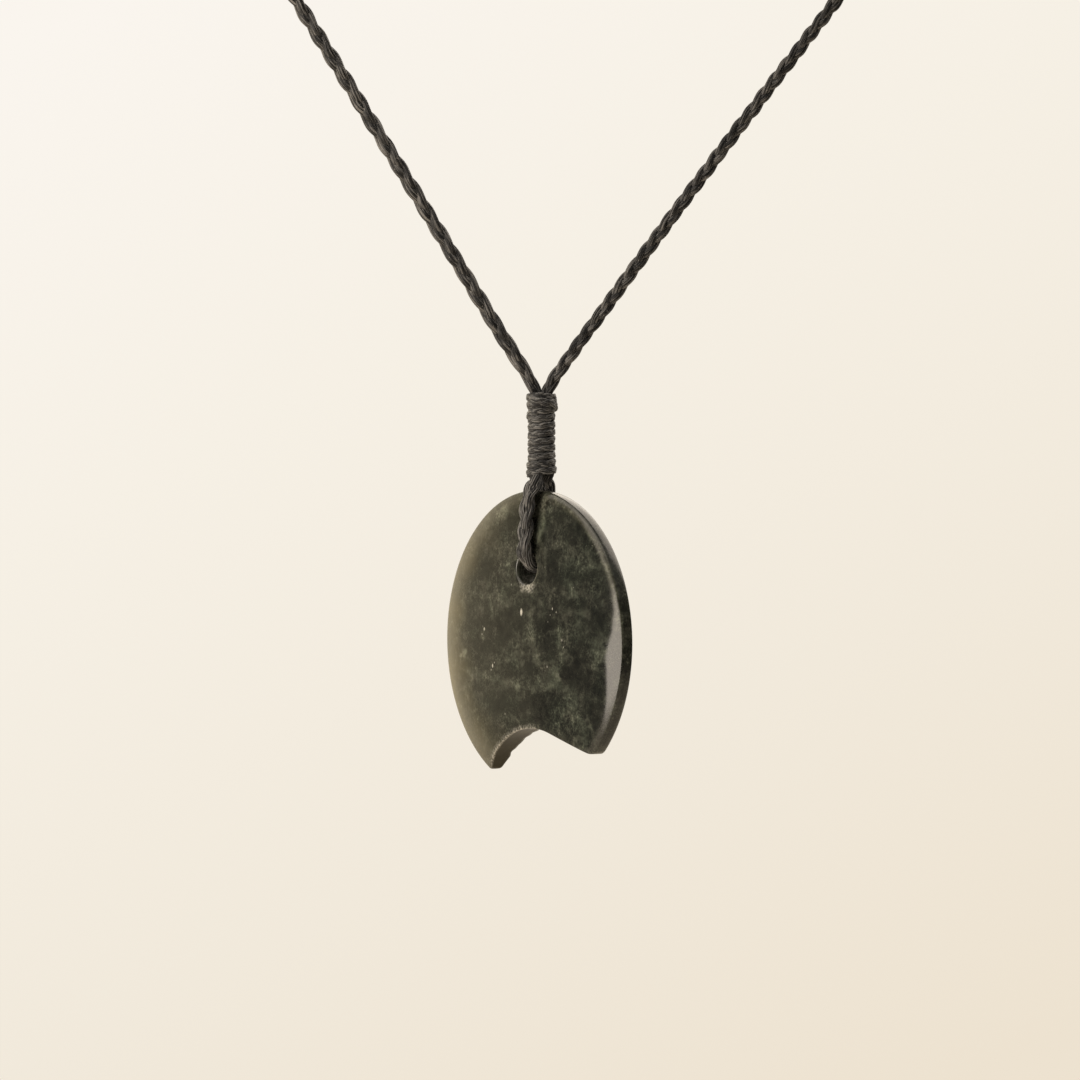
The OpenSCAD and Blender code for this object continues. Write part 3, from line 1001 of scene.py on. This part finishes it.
def laid_strands(tree: Tree, given: bpy.types.NodeOutputs, kept: dict[str, Socket]) -> Socket:
    """Lays one curve for each strand along the path, swaying and lifting in turn as in a flat plait.

    Args:
        tree: the geometry tree.
        given: the tree's own inputs.
        kept: the named attributes that the tree stores and reads.

    Returns:
        The strands' curves.
    """
    curve = add(tree, "GeometryNodeMeshToCurve", {"Mesh": given["Path"]})
    inputs = {"Curve": curve, "Length": given["Ring step"]}
    curve = add(tree, "GeometryNodeResampleCurve", inputs, mode="LENGTH")
    along = add(tree, "GeometryNodeInputTangent")
    across = add(tree, "ShaderNodeVectorMath", (along, kept["flat"]), operation="CROSS_PRODUCT")
    across = add(tree, "ShaderNodeVectorMath", (across,), operation="NORMALIZE")
    over = add(tree, "ShaderNodeVectorMath", (across, along), operation="CROSS_PRODUCT")
    length = add(tree, "GeometryNodeSplineParameter", out="Length")
    fixed = (("across", "FLOAT_VECTOR", across), ("over", "FLOAT_VECTOR", over), ("run", "FLOAT", length))
    for name, kind, value in fixed:
        inputs = {"Geometry": curve, "Name": name, "Value": value}
        curve = add(tree, "GeometryNodeStoreNamedAttribute", inputs, data_type=kind, domain="POINT")
    inputs = {"Geometry": curve, "Amount": given["Strands"]}
    copies = add(tree, "GeometryNodeDuplicateElements", inputs, domain="SPLINE").node.outputs
    number = copies["Duplicate Index"]
    share = add(tree, "ShaderNodeMath", (number, given["Strands"]), operation="DIVIDE")
    start = add(tree, "ShaderNodeMath", (share, given["Phase"]), operation="ADD")
    cycles = add(tree, "ShaderNodeMath", (kept["run"], given["Cycle"]), operation="DIVIDE")
    cycles = add(tree, "ShaderNodeMath", (cycles, start), operation="ADD")
    angle = add(tree, "ShaderNodeMath", (cycles, math.tau), operation="MULTIPLY")
    double = add(tree, "ShaderNodeMath", (angle, 2.0), operation="MULTIPLY")
    here = add(tree, "GeometryNodeInputPosition")
    wobble = add(tree, "ShaderNodeTexNoise", {"Vector": here, "Scale": 1 / (3 * MM), "Detail": 2.0}, "Color")
    wobble = add(tree, "ShaderNodeVectorMath", (wobble, (0.5, 0.5, 0.5)), operation="SUBTRACT")
    wobble = add(tree, "ShaderNodeVectorMath", {0: wobble, "Scale": given["Unevenness"]}, operation="SCALE")
    moves = []
    for turn, reach, way in ((angle, "Sway", "across"), (double, "Lift", "over")):
        wave = add(tree, "ShaderNodeMath", (turn,), operation="SINE")
        wave = add(tree, "ShaderNodeMath", (wave, given[reach]), operation="MULTIPLY")
        wave = add(tree, "ShaderNodeMath", (wave, kept["girth"]), operation="MULTIPLY")
        moves.append(add(tree, "ShaderNodeVectorMath", {0: kept[way], "Scale": wave}, operation="SCALE"))
    offset = add(tree, "ShaderNodeVectorMath", moves, operation="ADD")
    offset = add(tree, "ShaderNodeVectorMath", (offset, wobble), operation="ADD")
    strands = add(tree, "GeometryNodeSetPosition", {"Geometry": copies[0], "Offset": offset})
    run = add(tree, "ShaderNodeMath", (number, 0.037, kept["run"]), operation="MULTIPLY_ADD")
    odd = add(tree, "ShaderNodeMath", (number, 2.0), operation="MODULO")
    odd = add(tree, "ShaderNodeMath", (odd, given["Counter twist"]), operation="MULTIPLY")
    hand = add(tree, "ShaderNodeMath", (odd, -2.0, 1.0), operation="MULTIPLY_ADD")
    for name, value in (("run", run), ("hand", hand)):
        inputs = {"Geometry": strands, "Name": name, "Value": value}
        strands = add(tree, "GeometryNodeStoreNamedAttribute", inputs, data_type="FLOAT", domain="POINT")
    return add(tree, "GeometryNodeSetCurveNormal", {"Curve": strands, "Normal": kept["over"]}, mode="FREE")


def covered_strands(
    tree: Tree, given: bpy.types.NodeOutputs, kept: dict[str, Socket], strands: Socket
) -> Socket:
    """Gives each strand its oval section, with the low twisted lobes of its yarns.

    Args:
        tree: the geometry tree.
        given: the tree's own inputs.
        kept: the named attributes that the tree stores and reads.
        strands: the strands' curves.

    Returns:
        The mesh, with the attribute "thread" for the finish.
    """
    profile = add(
        tree, "GeometryNodeCurvePrimitiveCircle", {"Resolution": given["Sides"], "Radius": 1.0}, mode="RADIUS"
    )
    inputs = {"Geometry": profile, "Name": "round", "Value": add(tree, "GeometryNodeInputPosition")}
    profile = add(tree, "GeometryNodeStoreNamedAttribute", inputs, data_type="FLOAT_VECTOR", domain="POINT")
    halves = []
    for name in ("Thickness", "Width"):
        halves.append(add(tree, "ShaderNodeMath", (given[name], 0.5), operation="MULTIPLY"))
    size = add(tree, "ShaderNodeCombineXYZ", (*halves, 1.0))
    profile = add(tree, "GeometryNodeTransform", {"Geometry": profile, "Scale": size})
    inputs = {"Curve": strands, "Profile Curve": profile, "Scale": kept["girth"], "Fill Caps": True}
    mesh = add(tree, "GeometryNodeCurveToMesh", inputs)
    parts = add(tree, "ShaderNodeSeparateXYZ", (kept["round"],)).node.outputs
    turn = add(tree, "ShaderNodeMath", (parts[1], parts[0]), operation="ARCTAN2")
    lobes = add(tree, "ShaderNodeMath", (turn, given["Lobes"]), operation="MULTIPLY")
    twist = add(tree, "ShaderNodeMath", (kept["run"], given["Lobe twist"]), operation="DIVIDE")
    twist = add(tree, "ShaderNodeMath", (twist, math.tau), operation="MULTIPLY")
    twist = add(tree, "ShaderNodeMath", (twist, kept["hand"]), operation="MULTIPLY")
    swell = add(tree, "ShaderNodeMath", (lobes, twist), operation="ADD")
    swell = add(tree, "ShaderNodeMath", (swell,), operation="SINE")
    swell = add(tree, "ShaderNodeMath", (swell, given["Lobe depth"]), operation="MULTIPLY")
    normal = add(tree, "GeometryNodeInputNormal")
    lift = add(tree, "ShaderNodeVectorMath", {0: normal, "Scale": swell}, operation="SCALE")
    mesh = add(tree, "GeometryNodeSetPosition", {"Geometry": mesh, "Offset": lift})
    run = add(tree, "ShaderNodeMath", (kept["run"], MM), operation="DIVIDE")
    thread = add(tree, "ShaderNodeCombineXYZ", (parts[0], parts[1], run))
    inputs = {"Geometry": mesh, "Name": "thread", "Value": thread}
    return add(tree, "GeometryNodeStoreNamedAttribute", inputs, data_type="FLOAT_VECTOR", domain="POINT")


def strand_tree() -> Tree:
    """Builds the tree that lays strands of fibre along a path: plaited, side by side, or one alone.

    Returns:
        The tree. Its path carries "flat", the direction of the plait's thickness, and "girth", its share of
        full size.
    """
    tree = bpy.data.node_groups.new("Strands along a path", "GeometryNodeTree")
    kinds = {"Path": "Geometry", "Strands": "Int", "Sides": "Int", "Lobes": "Int", "Finish": "Material"}
    sizes = ("Cycle", "Phase", "Sway", "Lift", "Width", "Thickness", "Ring step")
    sizes += ("Lobe depth", "Lobe twist", "Counter twist", "Unevenness")
    for name in (*kinds, *sizes):
        kind = "NodeSocket" + kinds.get(name, "Float")
        tree.interface.new_socket(name, in_out="INPUT", socket_type=kind)
    tree.interface.new_socket("Mesh", in_out="OUTPUT", socket_type="NodeSocketGeometry")
    given = add(tree, "NodeGroupInput").node.outputs
    kept = {}
    for name in ("flat", "across", "over", "round", "run", "girth", "hand"):
        kind = "FLOAT" if name in ("run", "girth", "hand") else "FLOAT_VECTOR"
        kept[name] = add(tree, "GeometryNodeInputNamedAttribute", {"Name": name}, data_type=kind)
    mesh = covered_strands(tree, given, kept, laid_strands(tree, given, kept))
    for name in kept:
        mesh = add(tree, "GeometryNodeRemoveAttribute", {"Geometry": mesh, "Name": name})
    mesh = add(tree, "GeometryNodeSetShadeSmooth", {"Geometry": mesh})
    mesh = add(tree, "GeometryNodeRealizeInstances", {"Geometry": mesh})
    mesh = add(tree, "GeometryNodeSetMaterial", {"Geometry": mesh, "Material": given["Finish"]})
    add(tree, "NodeGroupOutput", (mesh,))
    return tree


@dataclass(frozen=True)
class Station:
    """A point of a path, with the direction of the strands' thickness there and their share of full size."""

    at: Vector
    flat: Vector
    girth: float = 1.0


@dataclass(frozen=True)
class Strands:
    """Strands of fibre laid along paths by the geometry tree, whose inputs are these. Sizes in metres."""

    tree: Tree
    strands: int = 3
    cycle: float = 11.2 * MM
    phase: float = 0.0
    sway: float = 0.38 * MM
    lift: float = 0.3 * MM
    width: float = 1.16 * MM
    thickness: float = 0.8 * MM
    sides: int = 32
    ring_step: float = 0.4 * MM
    lobes: int = 8
    lobe_depth: float = 0.03 * MM
    lobe_twist: float = 14 * MM
    counter_twist: float = 0.0
    unevenness: float = 0.15 * MM

    def lay(self, name: str, paths: list[list[Station]], finish: bpy.types.Material) -> bpy.types.Object:
        """Lays the strands along the paths.

        Args:
            name: the piece's name.
            paths: the stations of each path.
            finish: the fibre's material.

        Returns:
            The piece, a plain mesh.
        """
        stations = [station for path in paths for station in path]
        ends = {sum(map(len, paths[: i + 1])) - 1 for i in range(len(paths))}
        edges = [(i, i + 1) for i in range(len(stations) - 1) if i not in ends]
        mesh = bpy.data.meshes.new(name + "_path")
        mesh.from_pydata([station.at for station in stations], edges, [])
        flat = mesh.attributes.new("flat", "FLOAT_VECTOR", "POINT")
        flat.data.foreach_set("vector", np.array([station.flat for station in stations], np.float32).ravel())
        girth = mesh.attributes.new("girth", "FLOAT", "POINT")
        girth.data.foreach_set("value", np.array([station.girth for station in stations], np.float32))
        guide = linked(name + "_path", mesh)
        modifier = guide.modifiers.new("Strands", "NODES")
        modifier.node_group = self.tree
        for item in self.tree.interface.items_tree:
            field = item.name.lower().replace(" ", "_")
            if item.in_out == "INPUT" and field != "path":
                modifier[item.identifier] = finish if field == "finish" else getattr(self, field)
        evaluated = guide.evaluated_get(bpy.context.evaluated_depsgraph_get())
        made = bpy.data.meshes.new_from_object(evaluated)
        made.name = name
        guide.modifiers.remove(modifier)
        bpy.data.objects.remove(guide)
        return linked(name, made)


def smooth_route(points: list[Vector], per_stretch: int = 10) -> list[Vector]:
    """Runs one smooth curve through given points.

    Args:
        points: the points that the curve passes through.
        per_stretch: steps between one point and the next.

    Returns:
        Points along the curve.
    """
    ends = [2 * points[0] - points[1], *points, 2 * points[-1] - points[-2]]
    made = []
    for a, b, c, d in zip(ends, ends[1:], ends[2:], ends[3:]):
        knots = [0.0]
        for p, q in ((a, b), (b, c), (c, d)):
            knots.append(knots[-1] + max((q - p).length, 1e-9) ** 0.5)
        t0, t1, t2, t3 = knots
        for i in range(per_stretch):
            t = t1 + (t2 - t1) * i / per_stretch
            ab = a * ((t1 - t) / (t1 - t0)) + b * ((t - t0) / (t1 - t0))
            bc = b * ((t2 - t) / (t2 - t1)) + c * ((t - t1) / (t2 - t1))
            cd = c * ((t3 - t) / (t3 - t2)) + d * ((t - t2) / (t3 - t2))
            abc = ab * ((t2 - t) / (t2 - t0)) + bc * ((t - t0) / (t2 - t0))
            bcd = bc * ((t3 - t) / (t3 - t1)) + cd * ((t - t1) / (t3 - t1))
            made.append(abc * ((t2 - t) / (t2 - t1)) + bcd * ((t - t1) / (t2 - t1)))
    made.append(points[-1].copy())
    return made


@dataclass
class NeckCord:
    """The two legs of the plaited cord, which lie round an upright neck. Route points in millimetres."""

    left: tuple = (
        (-6.85, -110, -126.2), (-6.85, -110, -120), (-7.15, -110, -119.1), (-7.85, -110, -117.8),
        (-12, -110, -111.2), (-19.9, -110, -98.2), (-31, -110, -80.1), (-41.8, -110, -62.6),
        (-49, -108, -51), (-55, -102, -41), (-60, -93, -33),
    )
    right: tuple = (
        (-5.15, -110, -126.2), (-5.15, -110, -120), (-4.85, -110, -119.1), (-4.1, -110, -117.8),
        (3.6, -110, -107.1), (14.4, -110, -92.4), (26.1, -110, -76.9), (37.1, -110, -62.6),
        (46, -108, -51), (53.5, -102, -41), (59.5, -93, -33),
    )
    round_neck: tuple = (
        (64, -81, -27), (66, -66, -22), (65, -50, -17), (60, -35, -12), (51, -21, -7.5), (39, -10, -4),
        (25, -3, -1.5), (15, -0.6, -0.3), (8, 0, 0), (0, 0, 0),
    )
    neck_axis: Vector = Vector((0, -50 * MM, 0))
    left_fullness: float = 1.16
    right_fullness: float = 1.04

    def path(self, rows: tuple, side: int, fullness: float) -> list[Station]:
        """Smooths one leg's route.

        Args:
            rows: the leg's own points, from the binding up.
            side: -1 for the left leg, 1 for the right one.
            fullness: the plait's size where it hangs free, as a share of its size in the binding.

        Returns:
            Its stations, flat against the neck.
        """
        made = []
        shared = [(side * x, y, z) for x, y, z in self.round_neck]
        for p in smooth_route([Vector(row) * MM for row in (*rows, *shared)]):
            flat = Vector((p.x - self.neck_axis.x, p.y - self.neck_axis.y, 0)).normalized()
            above = smooth_step(-119.5 * MM, -113 * MM, p.z)
            beside = smooth_step(9 * MM, 14 * MM, abs(p.x) + 120 * MM + p.z)
            made.append(Station(p, flat, 1 + (fullness - 1) * (above * beside)))
        return made

    def build(self, looser: Strands, closer: Strands, finish: bpy.types.Material) -> list[bpy.types.Object]:
        """Builds both legs.

        Args:
            looser: the left leg's plait.
            closer: the right leg's plait.
            finish: the fibre's material.

        Returns:
            The left leg and the right leg.
        """
        return [
            looser.lay("neck_cord_left_plait", [self.path(self.left, -1, self.left_fullness)], finish),
            closer.lay("neck_cord_right_plait", [self.path(self.right, 1, self.right_fullness)], finish),
        ]


@dataclass
class LoopOverStone:
    """The stretch of cord that holds the stone.

    Each row: out of the stone, along its face and up in millimetres, then shares of width and thickness.
    """

    hole_at: Vector
    face_out: Vector
    face_side: Vector
    rows: tuple = (
        (0, 0, 0.35, 1.1, 1.3), (1, 0.1, 0.45, 1.1, 1.25), (1.9, 0.25, 0.8, 1.05, 1.15),
        (2.45, 0.4, 1.25, 1, 1.1), (2.85, 0.55, 1.75, 1.04, 1.08), (3.12, 0.7, 2.4, 1.08, 1.05),
        (3.12, 0.75, 3.2, 1.12, 1.08), (3.02, 0.76, 4.3, 1.13, 1.06), (2.88, 0.76, 6.3, 1.13, 1.06),
        (2.72, 0.8, 8.5, 1.08, 1.05), (2.52, 0.82, 10, 1.06, 1.03), (2.26, 0.75, 11, 1.1, 1),
        (2.0, 0.86, 11.8, 1.22, 1), (1.72, 0.86, 12.4, 1.28, 1.0), (1.16, 0.48, 13.1, 1.26, 1.0),
        (1, -0.1, 14, 1.0, 1.0), (0.85, -0.3, 15.6, 0.8, 0.84), (0.69, -0.5, 17.4, 0.77, 0.82),
        (0.69, -0.5, 19.4, 0.77, 0.82),
    )
    lean_from: float = 10.0
    lean_to: float = 14.0
    binding_side: float = 0.4

    def point(self, row: tuple, side: int) -> Vector:
        """Puts a row's point in the frame.

        Args:
            row: one of the loop's rows.
            side: 1 for the front of the stone, -1 for its back.

        Returns:
            The point in metres.
        """
        out, along, up = row[:3]
        lean = self.binding_side * min(max((up - self.lean_from) / (self.lean_to - self.lean_from), 0), 1)
        offset = side * (out * self.face_out + along * self.face_side) + Vector((lean, 0, up))
        return self.hole_at + offset * MM

    def build(self, strands: Strands, finish: bpy.types.Material) -> bpy.types.Object:
        """Builds the loop.

        Args:
            strands: the slack plait.
            finish: the fibre's material.

        Returns:
            The piece.
        """
        rows = [*reversed(self.rows), *self.rows[1:]]
        route = [self.point(row, 1 if i < len(self.rows) else -1) for i, row in enumerate(rows)]
        shares = [(row[3] + row[4]) / 2 for row in rows]
        per_stretch = 10
        points = smooth_route(route, per_stretch)
        path = []
        for i, p in enumerate(points):
            ahead = (points[min(i + 1, len(points) - 1)] - points[max(i - 1, 0)]).normalized()
            row, part = divmod(i, per_stretch)
            share = shares[row] + (shares[min(row + 1, len(rows) - 1)] - shares[row]) * part / per_stretch
            path.append(Station(p, self.face_side.cross(ahead).normalized(), share))
        return strands.lay("cord_loop_plait", [path], finish)


@dataclass
class Whipping:
    """Turns of waxed thread wound close round the cords. Sizes in metres."""

    name: str
    middle: Vector
    axis: Vector
    length: float
    turns: float
    radius: float
    end_rise: float = 0.0
    crossing_turns: float = 0.0
    points_per_turn: int = 40
    first_angle: float = 0.4
    lower_angle: float = 3.3

    def winding(self, start: float, end: float, turns: float, radius: float, first: float) -> list[Station]:
        """One length of thread wound round the axis.

        Args:
            start: where it starts along the axis, from the middle.
            end: where it ends.
            turns: how often it goes round.
            radius: distance of the thread's middle from the axis.
            first: angle at which it starts.

        Returns:
            Its stations, flat against the cords.
        """
        side = self.axis.orthogonal().normalized()
        front = self.axis.cross(side)
        count = int(self.points_per_turn * turns)
        rows = []
        for i in range(count + 1):
            t = i / count
            angle = first + math.tau * turns * t
            out = side * math.cos(angle) + front * math.sin(angle)
            at = start + (end - start) * t
            near_end = 1 - smooth_step(1.1, 2.2, min(t, 1 - t) * turns)
            tuck = 1 - smooth_step(0, 0.25, min(t, 1 - t) * turns)
            r = radius + self.end_rise * near_end - 0.5 * MM * tuck
            rows.append(Station(self.middle + self.axis * at + out * r, out))
        return rows

    def build(self, strands: Strands, finish: bpy.types.Material) -> bpy.types.Object:
        """Builds the whipping.

        Args:
            strands: the thread.
            finish: the thread's material.

        Returns:
            The piece.
        """
        half = self.length / 2 - strands.width / 2
        at = self.radius - strands.thickness / 2 - strands.lift
        inner = half - 0.5 * MM
        paths = [self.winding(-half, half, self.turns, at, self.first_angle)]
        # A lower layer closes the gaps between the turns.
        paths.append(self.winding(-inner, inner, self.turns - 1, at - 0.28 * MM, self.lower_angle))
        if self.crossing_turns:
            paths.append(self.winding(half * 0.98, half * 0.42, self.crossing_turns, at + 0.14 * MM, 2.0))
            level = half - 0.25 * MM
            first = self.first_angle + math.tau * (self.turns % 1 - 0.05)
            paths.append(self.winding(level, level, 1.1, at - 0.06 * MM, first))
        return strands.lay(self.name, paths, finish)


@dataclass
class Studio:
    """The camera, the pale floor, the warm paper backdrop and the soft lights. Sizes in metres.

    Each wall gives the room's brightness on its side, from behind the camera (0) to behind the pendant (1).
    """

    aim: Vector = Vector((-6.22 * MM, -110 * MM, -141.45 * MM))
    lit_spot: Vector = Vector((-6.4 * MM, -110 * MM, -150 * MM))
    distance: float = 0.6
    seen_width: float = 157.9 * MM
    floor_z: float = -0.36
    floor_r: float = 0.9
    floor_corners: int = 96
    light_distance: float = 0.7
    light_colour: str = "#fff2e2"
    floor_colour: str = "#e2dacd"
    ceiling: str = "#9b9791"
    paper: tuple = ((0.0, "#faf5ee"), (0.32, "#f6f0e5"), (0.68, "#f1e9db"), (1.0, "#ede2d0"))
    left_wall: tuple = (
        (0.0, "#3a3938"), (0.52, "#4f4e4b"), (0.63, "#575551"), (0.69, "#b3a88d"), (0.75, "#ffeec8"),
        (1.0, "#fff3da"),
    )
    right_wall: tuple = (
        (0.0, "#222121"), (0.25, "#2b2a29"), (0.34, "#44423e"), (0.5, "#272625"), (0.75, "#4b4843"),
        (0.92, "#c4beb2"), (1.0, "#fbf4e8"),
    )

    def camera(self) -> None:
        """Sets the camera at the photograph's place, level and square to the front."""
        data = bpy.data.cameras.new("camera")
        data.sensor_width = 36.0
        data.lens = data.sensor_width * self.distance / self.seen_width
        data.clip_start = 0.01
        camera = linked("camera", data)
        camera.location = self.aim - Vector((0, self.distance, 0))
        camera.rotation_euler = (math.pi / 2, 0, 0)
        bpy.context.scene.camera = camera

    def floor(self) -> None:
        """Lays a plain floor of matt paper, pale and without gloss, that fades out at its edge."""
        mesh = bpy.data.meshes.new("floor")
        turns = [math.tau * i / self.floor_corners for i in range(self.floor_corners)]
        rim = [(self.floor_r * math.cos(turn), self.floor_r * math.sin(turn), self.floor_z) for turn in turns]
        mesh.from_pydata(rim, [], [tuple(range(self.floor_corners))])
        floor = linked("floor", mesh)
        material, tree = new_material("Pale studio paper")
        place = add(tree, "ShaderNodeTexCoord", out="Object")
        flat = add(tree, "ShaderNodeVectorMath", (place, (1, 1, 0)), operation="MULTIPLY")
        reach = add(tree, "ShaderNodeVectorMath", (flat,), "Value", operation="LENGTH")
        fade = add(tree, "ShaderNodeMapRange", (reach, 0.35, self.floor_r, 1.0, 0.0))
        paper = add(tree, "ShaderNodeBsdfDiffuse", {"Color": linear(self.floor_colour)})
        clear = add(tree, "ShaderNodeBsdfTransparent")
        mixed = add(tree, "ShaderNodeMixShader", (fade, clear, paper))
        add(tree, "ShaderNodeOutputMaterial", {"Surface": mixed})
        mesh.materials.append(material)

    def backdrop(self) -> None:
        """Lights the whole scene softly and shows a warm paper behind it, paler above and to the left."""
        world = bpy.data.worlds.new("warm paper")
        bpy.context.scene.world = world
        world.use_nodes = True
        tree = world.node_tree
        tree.nodes.clear()
        way = add(tree, "ShaderNodeTexCoord", out="Generated")
        parts = add(tree, "ShaderNodeSeparateXYZ", (way,)).node.outputs
        fall = add(tree, "ShaderNodeMath", (parts[0], 0.5), operation="MULTIPLY")
        fall = add(tree, "ShaderNodeMath", (fall, parts[2]), operation="SUBTRACT")
        place = add(tree, "ShaderNodeMapRange", (fall, -0.18, 0.18))
        paper = add(tree, "ShaderNodeValToRGB", (place,), stops=dict(self.paper))
        seen = add(tree, "ShaderNodeBackground", {"Color": paper, "Strength": 1.0})
        level = add(tree, "ShaderNodeVectorMath", (way, (1, 1, 0)), operation="MULTIPLY")
        level = add(tree, "ShaderNodeVectorMath", (level,), operation="NORMALIZE")
        behind = add(tree, "ShaderNodeSeparateXYZ", (level,), 1)
        bearing = add(tree, "ShaderNodeMapRange", (behind, -1.0, 1.0))
        left = add(tree, "ShaderNodeValToRGB", (bearing,), stops=dict(self.left_wall))
        right = add(tree, "ShaderNodeValToRGB", (bearing,), stops=dict(self.right_wall))
        side = add(tree, "ShaderNodeMapRange", (parts[0], -0.15, 0.15))
        walls = add(tree, "ShaderNodeMix", {"Factor": side, 6: left, 7: right}, 2, data_type="RGBA")
        high = add(tree, "ShaderNodeMapRange", (parts[2], 0.3, 0.8))
        inputs = {"Factor": high, 6: walls, 7: linear(self.ceiling)}
        room = add(tree, "ShaderNodeMix", inputs, 2, data_type="RGBA")
        lit = add(tree, "ShaderNodeBackground", {"Color": room, "Strength": 1.0})
        camera_ray = add(tree, "ShaderNodeLightPath", out="Is Camera Ray")
        both = add(tree, "ShaderNodeMixShader", (camera_ray, lit, seen))
        add(tree, "ShaderNodeOutputWorld", {"Surface": both})

    def softbox(
        self,
        name: str,
        bearing: float,
        rise: float,
        spread: tuple[float, float],
        glow: float,
        turn: float = 0.0,
    ) -> None:
        """Hangs one softbox that faces the stone.

        Args:
            name: the light's name.
            bearing: degrees from straight left towards the camera.
            rise: degrees above the stone.
            spread: its width and height in degrees, as the stone sees it.
            glow: its brightness, where 1 is that of white paper in the backdrop.
            turn: degrees that it is turned about the line to the stone.
        """
        a, e = math.radians(bearing), math.radians(rise)
        way = Vector((-math.cos(a) * math.cos(e), -math.sin(a) * math.cos(e), math.sin(e)))
        data = bpy.data.lights.new(name, "AREA")
        data.shape = "RECTANGLE"
        data.size, data.size_y = (2 * self.light_distance * math.tan(math.radians(s / 2)) for s in spread)
        data.energy = glow * math.pi * data.size * data.size_y
        data.color = linear(self.light_colour)[:3]
        light = linked(name, data)
        light.location = self.lit_spot + way * self.light_distance
        turned = Quaternion((0, 0, 1), math.radians(turn))
        light.rotation_euler = ((-way).to_track_quat("-Z", "Y") @ turned).to_euler()
        light.visible_camera = False

    def build(self) -> None:
        """Sets up the whole studio."""
        bpy.context.scene.view_settings.view_transform = "Standard"
        self.camera()
        self.floor()
        self.backdrop()
        self.softbox("key softbox", 25, -7, (30, 34), 4.8, turn=34)
        self.softbox("upper softbox", 12, 24, (16, 24), 1.6)
        self.softbox("top softbox", -125, 48, (68, 46), 2.4)
        self.softbox("front softbox", 14, 50, (60, 40), 1.15)


def main() -> None:
    """Builds the studio, then the pendant from its stone outwards."""
    Studio().build()
    joint = frame["joints"][0]
    hole_at = Vector(joint["pos_m"])
    face_out = Vector(joint["axis"])
    face_side = UP.cross(face_out)
    disc = GreenstoneDisc(hole_at, face_out, face_side)
    nephrite = Nephrite(centre=disc.place((0, 0, 0)), turn=math.acos(-face_out.y)).material()
    cord = WaxedFibre("Waxed polyester, plaited").material()
    slack_cord = WaxedFibre(
        "Waxed polyester, slackly plaited", light="#9a9895", streaks_round=3.2, streak_length=3.2
    ).material()
    thread = WaxedFibre(
        "Waxed polyester, wound",
        dark="#1a1a1b",
        middle="#404041",
        light="#a09f9c",
        streaks_round=2.1,
        streak_length=3.2,
    ).material()
    tree = strand_tree()
    finished(disc.build(nephrite), Body.STONE, Slot.GREENSTONE, "stone")
    looser = Strands(tree)
    closer = Strands(tree, cycle=8.4 * MM, sway=0.43 * MM, width=1.06 * MM, ring_step=0.3 * MM)
    left, right = NeckCord().build(looser, closer, cord)
    finished(left, Body.CORD, Slot.CORD, "neck_cord_left")
    finished(right, Body.CORD, Slot.CORD, "neck_cord_right")
    slack = Strands(
        tree,
        cycle=9.7 * MM,
        sway=0.38 * MM,
        lift=0.26 * MM,
        width=1.74 * MM,
        thickness=1.04 * MM,
        sides=78,
        ring_step=0.25 * MM,
        lobes=13,
        lobe_depth=0.07 * MM,
        unevenness=0.06 * MM,
    )
    loop = LoopOverStone(hole_at, face_out, face_side).build(slack, slack_cord)
    finished(loop, Body.CORD, Slot.CORD, "cord_loop")
    wound = Strands(
        tree,
        cycle=4.6 * MM,
        phase=0.2,
        sway=0.24 * MM,
        lift=0.09 * MM,
        width=0.64 * MM,
        thickness=0.4 * MM,
        sides=24,
        ring_step=0.24 * MM,
        lobes=8,
        lobe_depth=0.022 * MM,
        lobe_twist=2.6 * MM,
        counter_twist=1.0,
        unevenness=0.16 * MM,
    )
    low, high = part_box("binding")
    binding = Whipping(
        "binding_whipping",
        middle=(low + high) / 2,
        axis=UP,
        length=high.z - low.z,
        turns=10.6,
        radius=2.07 * MM,
        end_rise=0.2 * MM,
        crossing_turns=1.2,
    ).build(wound, thread)
    finished(binding, Body.CORD, Slot.THREAD, "binding")
    low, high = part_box("nape_binding")
    nape = Whipping(
        "nape_whipping",
        middle=(low + high) / 2,
        axis=Vector((1, 0, 0)),
        length=high.x - low.x,
        turns=13.6,
        radius=1.8 * MM,
    ).build(wound, thread)
    finished(nape, Body.CORD, Slot.THREAD, "nape_binding")


if __name__ == "__main__":
    logging.basicConfig(level=logging.INFO)
    main()
